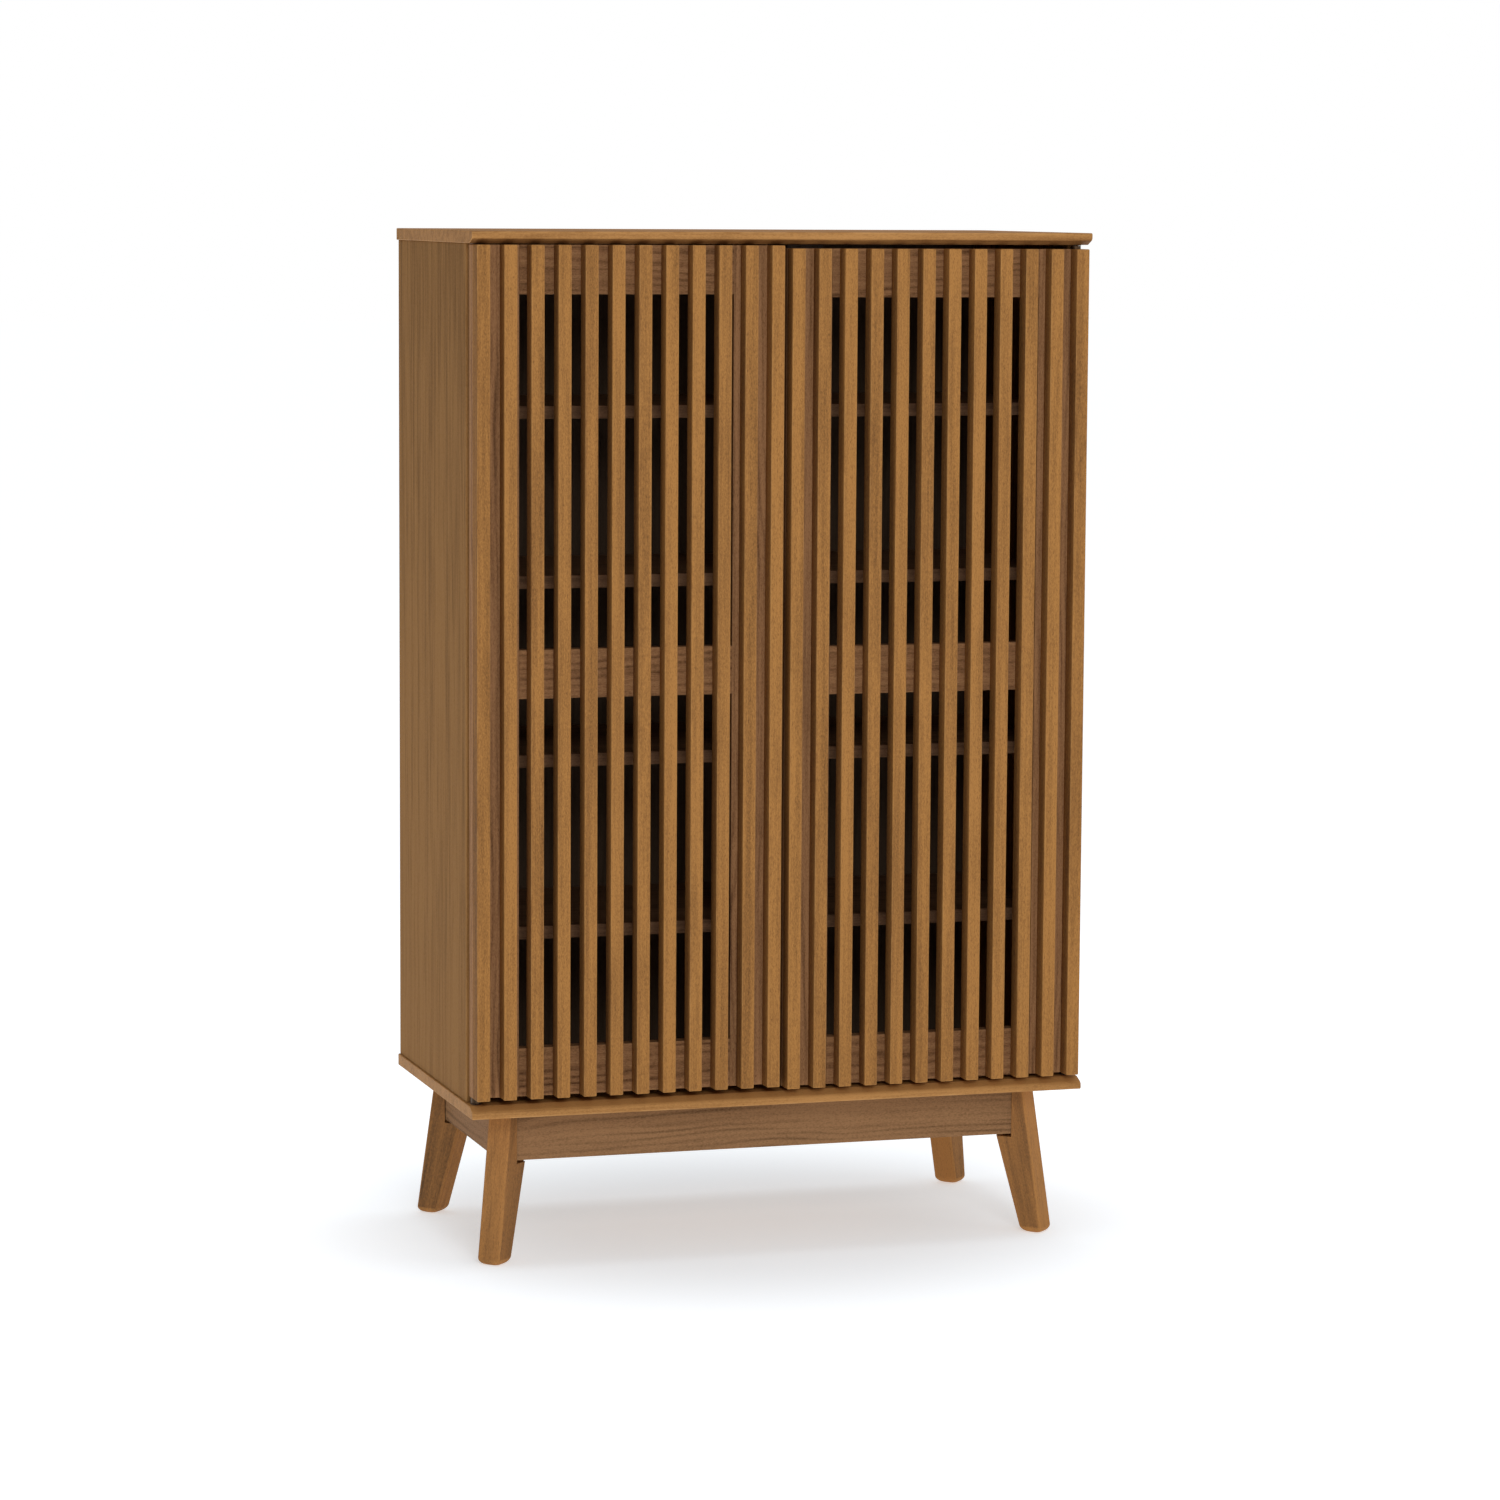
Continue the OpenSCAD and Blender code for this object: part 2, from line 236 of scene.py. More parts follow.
def srgb(r, g, b):
    """A display colour from 0 to 255 as a linear one."""
    def line(c):
        c = c / 255
        return c / 12.92 if c <= 0.04045 else ((c + 0.055) / 1.055) ** 2.4
    return (line(r), line(g), line(b), 1.0)


def wood(name, light, dark, worn, figure, streaks, pores, wear, sheen=0.6, gloss=0.03, rings=55.0):
    """A wood material that reads the board coordinates, tone and edge of its mesh."""
    material = bpy.data.materials.new(name)
    material.use_nodes = True
    n = Nodes(material.node_tree)
    n.tree.nodes.clear()
    attribute = {
        label: n.add("ShaderNodeAttribute", attribute_type="GEOMETRY", attribute_name=label)
        for label in ("board", "tone", "edge")
    }
    group = n.add("ShaderNodeGroup", node_tree=WOOD_GROUP, inputs={
        "Board": attribute["board"].outputs["Vector"],
        "Tone": attribute["tone"].outputs["Fac"],
        "Edge": attribute["edge"].outputs["Fac"],
        "Light": light, "Dark": dark, "Worn": worn, "Figure": figure,
        "Streaks": streaks, "Pores": pores, "Wear": wear, "Sheen": sheen,
        "Rings": rings,
    })
    relief = n.add("ShaderNodeBump", {
        "Height": group.outputs["Height"], "Strength": WOOD_BUMP, "Distance": WOOD_RELIEF})
    shader = n.add("ShaderNodeBsdfPrincipled", {
        "Base Color": group.outputs["Colour"],
        "Roughness": group.outputs["Roughness"],
        "Normal": relief.outputs[0],
        "Specular IOR Level": gloss,
    })
    n.add("ShaderNodeOutputMaterial", {"Surface": shader.outputs[0]})
    return material


slat_wood = wood("slat_wood", srgb(172, 121, 66), srgb(100, 67, 40), srgb(196, 148, 92),
                 figure=0.16, streaks=0.5, pores=0.9, wear=0.35)
frame_wood = wood("door_frame_wood", srgb(172, 126, 86), srgb(90, 60, 38), srgb(180, 138, 98),
                  figure=0.8, streaks=0.5, pores=0.7, wear=0.3, rings=130.0)
side_wood = wood("side_panel_wood", srgb(154, 112, 66), srgb(98, 67, 37), srgb(172, 130, 84),
                 figure=0.08, streaks=0.8, pores=0.6, wear=0.35, sheen=0.7)
panel_wood = wood("top_panel_wood", srgb(180, 130, 76), srgb(110, 71, 36), srgb(200, 152, 98),
                  figure=0.4, streaks=0.55, pores=0.55, wear=0.45, sheen=0.5, gloss=0.05)
shelf_wood = wood("shelf_wood", srgb(142, 106, 78), srgb(80, 57, 41), srgb(158, 118, 84),
                  figure=0.4, streaks=0.5, pores=0.5, wear=0.2)
back_wood = wood("back_board_wood", srgb(98, 80, 64), srgb(58, 47, 38), srgb(104, 86, 68),
                 figure=0.6, streaks=0.4, pores=0.4, wear=0.1)
apron_wood = wood("apron_wood", srgb(152, 114, 79), srgb(86, 61, 40), srgb(184, 140, 98),
                  figure=1.0, streaks=0.3, pores=0.8, wear=0.3, rings=125.0)
leg_wood = wood("leg_wood", srgb(178, 125, 72), srgb(104, 76, 52), srgb(196, 146, 90),
                figure=0.3, streaks=0.45, pores=0.7, wear=0.15)
block_wood = wood("corner_block_wood", srgb(206, 176, 132), srgb(160, 124, 84), srgb(214, 186, 144),
                  figure=0.5, streaks=0.4, pores=0.4, wear=0.1)


# ---- metal and plastic fittings ----

# Dull patches in a metre, the swing of the roughness, and the strength and depth of the scratches
DULL_PATCHES = 130.0
SCUFF_SWING = 0.3
SCRATCH_BUMP = 0.12
SCRATCH_RELIEF = 0.05 * MM


def make_scuff_group():
    """Fine scratches and handling marks for the fittings, in metres."""
    inputs = [("Place", "Vector", None), ("Base", "Color", (0.6, 0.6, 0.6, 1)),
              ("Dull", "Color", (0.4, 0.4, 0.4, 1)), ("Rough", "Float", 0.4), ("Grain", "Float", 900.0)]
    outputs = [("Colour", "Color"), ("Roughness", "Float"), ("Height", "Float")]
    n, i, o = new_group("fitting_scuffs", inputs, outputs)
    fine = n.noise(i["Place"], i["Grain"], 3.0)
    cloud = n.noise(i["Place"], DULL_PATCHES, 3.0)
    colour = n.mix_colour(n.ramp(cloud, 0.4, 0.7), i["Base"], i["Dull"])
    rough = n.math("ADD", i["Rough"], n.centred(fine, SCUFF_SWING), clamp=True)
    for label, value in (("Colour", colour), ("Roughness", rough), ("Height", fine)):
        n.tree.links.new(value, o[label])
    return n.tree


SCUFF_GROUP = make_scuff_group()


def fitting(name, base, dull, rough, metallic, grain):
    """A metal or plastic material for a small fitting."""
    material = bpy.data.materials.new(name)
    material.use_nodes = True
    n = Nodes(material.node_tree)
    n.tree.nodes.clear()
    place = n.add("ShaderNodeTexCoord").outputs["Object"]
    group = n.add("ShaderNodeGroup", node_tree=SCUFF_GROUP, inputs={
        "Place": place, "Base": base, "Dull": dull, "Rough": rough, "Grain": grain})
    relief = n.add("ShaderNodeBump", {
        "Height": group.outputs["Height"], "Strength": SCRATCH_BUMP, "Distance": SCRATCH_RELIEF})
    shader = n.add("ShaderNodeBsdfPrincipled", {
        "Base Color": group.outputs["Colour"], "Roughness": group.outputs["Roughness"],
        "Normal": relief.outputs[0], "Metallic": metallic})
    n.add("ShaderNodeOutputMaterial", {"Surface": shader.outputs[0]})
    return material


steel = fitting("zinc_plated_steel", srgb(196, 197, 200), srgb(150, 152, 156), 0.34, 1.0, 1400.0)
bronzed_steel = fitting("bronzed_steel", srgb(96, 76, 58), srgb(66, 52, 40), 0.45, 1.0, 1400.0)
brown_nylon = fitting("brown_nylon", srgb(72, 50, 36), srgb(58, 40, 28), 0.55, 0.0, 2200.0)


# ---- mesh helpers ----

def plain_box(bm, lo, hi):
    """Adds a block between two corners to bm and returns its points."""
    made = bmesh.ops.create_cube(bm, size=1.0)["verts"]
    for v in made:
        v.co = Vector(lo[k] + (v.co[k] + 0.5) * (hi[k] - lo[k]) for k in range(3))
    return made


def board_from_box(bm, lo, hi, radius):
    """Adds a block with rounded edges to bm."""
    made = plain_box(bm, lo, hi)
    edges = list({e for v in made for e in v.link_edges})
    bmesh.ops.bevel(bm, geom=edges, offset=radius, segments=3, profile=0.5, affect="EDGES")


# A face is narrow when its mean width is below this share of the rounding's radius
NARROW_FACE = 0.8


def mark_edges(mesh, radius):
    """Stores 1 in the edge attribute on points inside a rounding, where every face is narrow."""
    bm = bmesh.new()
    bm.from_mesh(mesh)
    wide = set()
    for face in bm.faces:
        if 2 * face.calc_area() / face.calc_perimeter() > NARROW_FACE * radius:
            wide.update(v.index for v in face.verts)
    bm.free()
    values = np.ones(len(mesh.vertices), np.float32)
    values[list(wide)] = 0
    layer = mesh.attributes.new("edge", "FLOAT", "POINT")
    layer.data.foreach_set("value", values)


def lay_grain(mesh, along, seed, rows=None, tone=None):
    """Stores board coordinates and a tone. along is the grain's axis, 0 to 2, or a direction and its
    two cross directions; rows gives each point's board where one mesh holds several."""
    co = points_of(mesh)
    if isinstance(along, int):
        axes = np.roll(np.eye(3), -along, axis=0)
    else:
        axes = np.array(along)
    if rows is None:
        rows = np.zeros(len(co), int)
    draw = np.random.RandomState(seed)
    shifts = draw.uniform(-4, 4, (rows.max() + 1, 3))
    tones = draw.uniform(-1, 1, rows.max() + 1)
    if tone is not None:
        tones[:] = tone
    board = co @ axes.T + shifts[rows]
    layer = mesh.attributes.new("board", "FLOAT_VECTOR", "POINT")
    layer.data.foreach_set("vector", board.astype(np.float32).ravel())
    layer = mesh.attributes.new("tone", "FLOAT", "POINT")
    layer.data.foreach_set("value", tones[rows].astype(np.float32))


def paint_light_and_shade(mesh, chosen, shift):
    """Darkens the chosen points as painted shade by a tone shift, or lightens them as painted light where
    it is below 0.
    """
    values = np.empty(len(mesh.vertices), np.float32)
    layer = mesh.attributes["tone"].data
    layer.foreach_get("value", values)
    values[chosen] += shift
    layer.foreach_set("value", values)


def points_of(mesh):
    """The points of a mesh, one to a row."""
    co = np.empty(len(mesh.vertices) * 3, np.float32)
    mesh.vertices.foreach_get("co", co)
    return co.reshape(-1, 3)


def make_object(name, mesh, material, body, nodes):
    """Puts a finished mesh on a body in place of its CAD nodes."""
    piece = bpy.data.objects.new(name, mesh)
    scene.collection.objects.link(piece)
    if not mesh.materials:
        mesh.materials.append(material)
    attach(piece, body)
    if nodes:
        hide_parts(*nodes)
    return piece


def mesh_of(bm, name):
    """The mesh of bm, with its faces turned outwards."""
    bmesh.ops.recalc_face_normals(bm, faces=bm.faces[:])
    mesh = bpy.data.meshes.new(name)
    bm.to_mesh(mesh)
    bm.free()
    return mesh


def cut(mesh, cutter):
    """The mesh with the cutter's solids taken out of it."""
    body = bpy.data.objects.new("being_cut", mesh)
    tool = bpy.data.objects.new("cutter", cutter)
    for item in (body, tool):
        scene.collection.objects.link(item)
    change = body.modifiers.new("cut", "BOOLEAN")
    change.operation = "DIFFERENCE"
    change.solver = "EXACT"
    change.object = tool
    result = bpy.data.meshes.new_from_object(body.evaluated_get(bpy.context.evaluated_depsgraph_get()))
    for item in (body, tool):
        bpy.data.objects.remove(item)
    return result


def board(node, along, radius, material, body, slot, seed, boxes=None, tone=None):
    """A rounded board in place of a CAD node. Its boxes are the node's own box unless they are given."""
    bm = bmesh.new()
    for lo, hi in boxes or [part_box(node)]:
        board_from_box(bm, lo, hi, radius)
    mesh = mesh_of(bm, node)
    mark_edges(mesh, radius)
    lay_grain(mesh, along, seed, tone=tone)
    return make_object(node + "_board", mesh, material, body, [node])


# ---- top and bottom panels ----

def rounded_outline(corners, steps=5):
    """Points round a closed outline whose corners are (x, y, radius), with an arc at each of them."""
    points = []
    for k, (x, y, radius) in enumerate(corners):
        here = Vector((x, y))
        before = (Vector(corners[k - 1][:2]) - here).normalized()
        after = (Vector(corners[(k + 1) % len(corners)][:2]) - here).normalized()
        half = before.angle(after) / 2
        reach = radius / math.tan(half)
        centre = here + (before + after).normalized() * radius / math.sin(half)
        start = here + before * reach - centre
        turn = (here + after * reach - centre).angle_signed(start)
        for step in range(steps + 1):
            points.append(centre + Matrix.Rotation(turn * step / steps, 2) @ start)
    return points


EDGE_FACE = 8.2 * MM
EDGE_BEVEL = 14 * MM
TOP_TONE = 0.0
BOTTOM_TONE = -1.5
# Tone shifts for painted shade on the top panel's bevel, which faces down, and painted light on the bottom
# panel's bevel
TOP_BEVEL_PAINTED_SHADE = 5.0
BOTTOM_BEVEL_PAINTED_LIGHT = -4.0


def case_panel(node, under, seed):
    """The top or bottom panel, whose front edge is bevelled on the side towards the doors."""
    lo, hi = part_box(node)
    inner, outer = (lo.z, hi.z) if under else (hi.z, lo.z)
    face_end = outer - EDGE_FACE if under else outer + EDGE_FACE
    corners = [
        (lo.y, outer, NOSE_ROUND), (lo.y, face_end, CREASE_ROUND),
        (lo.y + EDGE_BEVEL, inner, CREASE_ROUND),
        (hi.y, inner, PANEL_ROUND), (hi.y, outer, PANEL_ROUND),
    ]
    bm = bmesh.new()
    start = [bm.verts.new((lo.x, p.x, p.y)) for p in rounded_outline(corners)]
    cap = bm.faces.new(start)
    made = bmesh.ops.extrude_face_region(bm, geom=[cap])["geom"]
    for v in made:
        if isinstance(v, bmesh.types.BMVert):
            v.co.x = hi.x
    bmesh.ops.recalc_face_normals(bm, faces=bm.faces[:])
    rim = [e for e in bm.edges if abs(e.verts[0].co.x - e.verts[1].co.x) < MM / 100]
    bmesh.ops.bevel(bm, geom=rim, offset=PANEL_ROUND, segments=3, profile=0.5, affect="EDGES")
    mesh = mesh_of(bm, node)
    mark_edges(mesh, PANEL_ROUND)
    lay_grain(mesh, 0, seed, tone=TOP_TONE if under else BOTTOM_TONE)
    # The bevel gets painted shade on the top panel and painted light on the bottom panel
    x, y, z = points_of(mesh).T
    painted_bevel = (abs(x) < hi.x - PANEL_ROUND / 2) & (y > lo.y + MM) & (y < lo.y + EDGE_BEVEL + MM)
    painted_bevel &= (abs(z - outer) > EDGE_FACE) & (abs(z - inner) > MM / 10)
    paint_light_and_shade(mesh, painted_bevel, TOP_BEVEL_PAINTED_SHADE if under else BOTTOM_BEVEL_PAINTED_LIGHT)
    return make_object(node + "_board", mesh, panel_wood, "carcass", [node])


case_panel("top_panel", True, 11)
case_panel("bottom_panel", False, 12)


# ---- sides, back and shelves ----

def cylinder(bm, start, along, radius, length, segments=20):
    """Adds a closed cylinder that starts at a point and runs along an axis direction."""
    turn = Vector((0, 0, 1)).rotation_difference(Vector(along)).to_matrix().to_4x4()
    place = Matrix.Translation(Vector(start) + Vector(along) * length / 2) @ turn
    bmesh.ops.create_cone(bm, cap_ends=True, segments=segments, radius1=radius, radius2=radius,
                          depth=length, matrix=place)


PIN_RADIUS = 2.5 * MM
PIN_DEPTH = 10 * MM
PIN_OUT = 8 * MM
PIN_FROM_ENDS = 45 * MM
HOLE_PITCH = 32 * MM
HOLE_CLEARANCE = 0.05 * MM
# Tone shifts at the foot and head of the side panels: painted light low down, painted shade high up
SIDE_PAINTED_LIGHT_LOW = -2.5
SIDE_PAINTED_SHADE_HIGH = 1.0

shelf_boxes = [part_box(f"shelf_{k + 1}") for k in range(SHELVES)]
SHELF_FRONT = shelf_boxes[0][0].y
BACK_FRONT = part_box("back_panel")[0].y
PIN_ROWS = (SHELF_FRONT + PIN_FROM_ENDS, BACK_FRONT - PIN_FROM_ENDS)


def side_panel(side, seed):
    """A side panel with blind holes at each shelf pin, and one above and one below each of them."""
    node = "side_panel_" + side
    lo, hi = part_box(node)
    bm = bmesh.new()
    board_from_box(bm, lo, hi, PANEL_ROUND)
    panel = mesh_of(bm, node)
    inwards = 1 if side == "left" else -1
    inner_x = hi.x if side == "left" else lo.x
    bm = bmesh.new()
    for low, _ in shelf_boxes:
        for step in (-1, 0, 1):
            for y in PIN_ROWS:
                start = (inner_x - inwards * PIN_DEPTH, y, low.z - PIN_RADIUS + step * HOLE_PITCH)
                cylinder(bm, start, (inwards, 0, 0), PIN_RADIUS + HOLE_CLEARANCE, PIN_DEPTH + MM)
    mesh = cut(panel, mesh_of(bm, "pin_holes"))
    mark_edges(mesh, PANEL_ROUND)
    lay_grain(mesh, 2, seed)
    # Painted light towards the bottom of the panel and painted shade towards the top
    height = (points_of(mesh)[:, 2] - lo.z) / (hi.z - lo.z)
    paint_light_and_shade(mesh, slice(None), SIDE_PAINTED_LIGHT_LOW + (SIDE_PAINTED_SHADE_HIGH - SIDE_PAINTED_LIGHT_LOW) * height)
    return make_object(node + "_board", mesh, side_wood, "carcass", [node])


side_panel("left", 21)
side_panel("right", 22)
board("back_panel", 2, BACK_ROUND, back_wood, "carcass", "back_board", 23)
for k in range(SHELVES):
    board(f"shelf_{k + 1}", 0, PANEL_ROUND, shelf_wood, "carcass", "shelf_wood", 31 + k)


# ---- geometry nodes: rows of equal pieces ----

def row_tree():
    """Copies one piece along a line."""
    tree = bpy.data.node_groups.new("row_of_pieces", "GeometryNodeTree")
    interface = tree.interface
    interface.new_socket("Geometry", in_out="OUTPUT", socket_type="NodeSocketGeometry")
    inputs = (("Piece", "Object"), ("Count", "Int"), ("Step", "Vector"), ("Material", "Material"))
    for label, kind in inputs:
        interface.new_socket(label, in_out="INPUT", socket_type="NodeSocket" + kind)
    n = Nodes(tree)
    given = n.add("NodeGroupInput").outputs
    piece = n.add("GeometryNodeObjectInfo", {"Object": given["Piece"]}).outputs["Geometry"]
    line = n.add("GeometryNodeMeshLine", {"Count": given["Count"], "Offset": given["Step"]}, mode="OFFSET")
    spread = n.add("GeometryNodeInstanceOnPoints", {"Points": line.outputs[0], "Instance": piece})
    real = n.add("GeometryNodeRealizeInstances", {"Geometry": spread.outputs[0]})
    coloured = n.add("GeometryNodeSetMaterial", {
        "Geometry": real.outputs[0], "Material": given["Material"]})
    n.add("NodeGroupOutput", {"Geometry": coloured.outputs[0]})
    return tree


ROW_TREE = row_tree()


def row_mesh(name, piece_mesh, count, step, material):
    """The plain mesh of a row of one piece."""
    template = bpy.data.objects.new(name + "_piece", piece_mesh)
    holder = bpy.data.objects.new(name, bpy.data.meshes.new(name))
    for item in (template, holder):
        scene.collection.objects.link(item)
    change = holder.modifiers.new("row", "NODES")
    change.node_group = ROW_TREE
    values = {"Piece": template, "Count": count, "Step": step, "Material": material}
    for socket in ROW_TREE.interface.items_tree:
        if socket.in_out == "INPUT":
            change[socket.identifier] = values[socket.name]
    holder.update_tag()
    mesh = bpy.data.meshes.new_from_object(holder.evaluated_get(bpy.context.evaluated_depsgraph_get()))
    for item in (template, holder):
        bpy.data.objects.remove(item)
    return mesh


# ---- shelf pins ----

PIN_DOME = 0.9 * MM


def pin_mesh(start, inwards):
    """One shelf pin with a domed end."""
    bm = bmesh.new()
    cylinder(bm, start, (inwards, 0, 0), PIN_RADIUS, PIN_DEPTH + PIN_OUT, 24)
    end_x = start[0] + inwards * (PIN_DEPTH + PIN_OUT)
    rim = [e for e in bm.edges if all(abs(v.co.x - end_x) < MM / 100 for v in e.verts)]
    bmesh.ops.bevel(bm, geom=rim, offset=PIN_DOME, segments=3, profile=0.5, affect="EDGES")
    return mesh_of(bm, "shelf_pin")


def shelf_pins():
    """The pins of all the shelves, a front and a back one at each end of a shelf."""
    bm = bmesh.new()
    for side, inwards in (("left", 1), ("right", -1)):
        lo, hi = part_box("side_panel_" + side)
        inner_x = hi.x if side == "left" else lo.x
        for low, _ in shelf_boxes:
            start = (inner_x - inwards * PIN_DEPTH, PIN_ROWS[0], low.z - PIN_RADIUS)
            pair = row_mesh("pins", pin_mesh(start, inwards), 2, (0, PIN_ROWS[1] - PIN_ROWS[0], 0), steel)
            bm.from_mesh(pair)
    mesh = mesh_of(bm, "shelf_pins")
    mesh.shade_smooth()
    mesh.set_sharp_from_angle(angle=math.radians(40))
    return make_object("shelf_pin_set", mesh, steel, "carcass", ["shelf_pins"])


shelf_pins()


# ---- doors ----

TENON_LEN = 12 * MM
TENON_SHOULDER = 7 * MM
TENON_CHEEK = 5 * MM
RAIL_TONE = 1.0
# Tone shift for painted shade on the slats' sides
SLAT_SIDE_PAINTED_SHADE = 2.0
STILE_TONE = -0.6


def door_slats(side, seed):
    """All the slats of one door."""
    nodes = [f"door_{side}_slat_{k + 1}" for k in range(SLATS)]
    lo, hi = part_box(nodes[0])
    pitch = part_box(nodes[1])[0].x - lo.x
    bm = bmesh.new()
    board_from_box(bm, lo, hi, SLAT_ROUND)
    mesh = row_mesh("slats_" + side, mesh_of(bm, "slat"), SLATS, (pitch, 0, 0), slat_wood)
    middle = (lo.x + hi.x) / 2
    numbers = np.rint((points_of(mesh)[:, 0] - middle) / pitch).astype(int)
    mark_edges(mesh, SLAT_ROUND)
    lay_grain(mesh, 2, seed, abs(numbers))
    # Painted shade on the slats' sides, which face the narrow gaps between them
    across = abs(points_of(mesh)[:, 0] - middle - numbers * pitch)
    paint_light_and_shade(mesh, across > (hi.x - lo.x) / 2 - MM / 10, SLAT_SIDE_PAINTED_SHADE)
    return make_object(f"door_{side}_slats", mesh, slat_wood, "door_" + side, nodes)


def door_rail(side, place, seed):
    """A door rail with a tenon at each end."""
    node = f"door_{side}_rail_{place}"
    lo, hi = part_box(node)
    body_lo = Vector((lo.x + TENON_LEN, lo.y, lo.z))
    body_hi = Vector((hi.x - TENON_LEN, hi.y, hi.z))
    inset = Vector((0, TENON_CHEEK, TENON_SHOULDER))
    left = (lo + inset, Vector((body_lo.x + MM, hi.y, hi.z)) - inset)
    right = (Vector((body_hi.x - MM, lo.y, lo.z)) + inset, hi - inset)
    boxes = [(body_lo, body_hi), left, right]
    board(node, 0, FRAME_ROUND, frame_wood, "door_" + side, "frame_wood", seed, boxes, RAIL_TONE)


for door_seed, side in ((100, "left"), (200, "right")):
    door_slats(side, door_seed)
    for k, part in enumerate(("outer", "inner")):
        board(f"door_{side}_stile_{part}", 2, FRAME_ROUND, frame_wood, "door_" + side, "frame_wood",
              door_seed + 20 + k, tone=STILE_TONE)
    for k, place in enumerate(RAILS):
        door_rail(side, place, door_seed + 30 + k)


# ---- base ----

for k, place in enumerate(("front", "back", "left", "right")):
    board("apron_" + place, 0 if k < 2 else 1, PANEL_ROUND, apron_wood, "carcass", "apron_wood", 41 + k)

# LEG_FOOT and LEG_TOP are the leg's depth along its diagonal, at its two ends
LEG_WIDTH = 30 * MM
LEG_SPLAY = 28 * MM
LEG_FOOT = 28 * MM
LEG_TOP = 54 * MM
FOOT_STEPS = 6
# Tone shifts painted on the legs: shade on the side faces, light on the right legs' outer faces
LEG_SIDE_PAINTED_SHADE = {"left": 3.8, "right": 1.6}
LEG_OUTER_PAINTED_LIGHT = {"left": 0.0, "right": -3.0}
HOUSING_SIDE = 1 * MM
HOUSING_BELOW = 4 * MM
LEG_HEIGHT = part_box("leg_front_left")[1].z


def leg_levels():
    """Levels of a leg from the foot up: the share of its height, the inset and the corner radius."""
    levels = []
    for step in range(FOOT_STEPS + 1):
        angle = math.pi / 2 * step / FOOT_STEPS
        inset = FOOT_ROUND * (1 - math.sin(angle))
        corner = LEG_ROUND + (FOOT_CORNER - LEG_ROUND) * inset / FOOT_ROUND
        levels.append((FOOT_ROUND * (1 - math.cos(angle)) / LEG_HEIGHT, inset, corner))
    return levels + [(1.0, 0.0, LEG_ROUND)]


def leg(end, side, seed):
    """A leg that splays out along the diagonal and is cut away round the apron ends."""
    x_in = 1 if side == "left" else -1
    y_in = 1 if end == "front" else -1
    corner_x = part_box("apron_" + side)[0 if side == "left" else 1].x
    corner_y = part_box("apron_" + end)[0 if end == "front" else 1].y
    inwards = Vector((x_in, y_in, 0)).normalized()
    sideways = Vector((-inwards.y, inwards.x, 0))

    def place(r, t, z):
        return Vector((corner_x, corner_y, z)) + inwards * r + sideways * t

    bm = bmesh.new()
    rings = []
    for share, inset, corner in leg_levels():
        r_near = -LEG_SPLAY * (1 - share) + inset
        r_far = LEG_FOOT - LEG_SPLAY + (LEG_TOP - LEG_FOOT + LEG_SPLAY) * share - inset
        half = LEG_WIDTH / 2 - inset
        points = rounded_outline([(r_near, -half, corner), (r_far, -half, corner),
                                  (r_far, half, corner), (r_near, half, corner)], 3)
        rings.append([bm.verts.new(place(p.x, p.y, share * LEG_HEIGHT)) for p in points])
    for low, high in zip(rings, rings[1:]):
        for k in range(len(low)):
            bm.faces.new((low[k - 1], low[k], high[k], high[k - 1]))
    bm.faces.new(rings[0])
    bm.faces.new(rings[-1])
    mesh = mesh_of(bm, "leg")

    # The two housings cross at the corner, so they are cut one after the other
    for node in ("apron_" + end, "apron_" + side):
        lo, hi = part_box(node)
        grow = Vector((HOUSING_SIDE, HOUSING_SIDE, HOUSING_BELOW))
        tool = bmesh.new()
        plain_box(tool, lo - grow, hi + grow)
        mesh = cut(mesh, mesh_of(tool, "housing"))
    mark_edges(mesh, LEG_ROUND)
    lean = math.atan2((LEG_TOP + LEG_SPLAY - LEG_FOOT) / 2 + LEG_SPLAY / 2, LEG_HEIGHT)
    grain = inwards * math.sin(lean) + Vector((0, 0, 1)) * math.cos(lean)
    lay_grain(mesh, [tuple(grain), tuple(sideways), tuple(grain.cross(sideways))], seed)
    # Painted shade on the side faces and painted light on the right legs' outer faces
    across = (points_of(mesh) - np.array((corner_x, corner_y, 0))) @ np.array(sideways)
    on_side = abs(across) > LEG_WIDTH / 2 - MM / 10
    paint_light_and_shade(mesh, on_side, LEG_SIDE_PAINTED_SHADE[side])
    paint_light_and_shade(mesh, ~on_side, LEG_OUTER_PAINTED_LIGHT[side])
    node = f"leg_{end}_{side}"
    return make_object(node + "_splayed", mesh, leg_wood, "carcass", [node])


leg_seed = 50
for end in ("front", "back"):
    for side in SIDES:
        leg(end, side, leg_seed)
        leg_seed += 1


# ---- fittings ----

CATCH_WIDTH = 44 * MM
CATCH_ROUND = 1.2 * MM
POLE_THICKNESS = 1.2 * MM
POLE_FROM_EDGE = 2.5 * MM
POLE_FROM_END = 6 * MM
POLE_DEPTH = 6 * MM
POLE_ROUND = 0.2 * MM


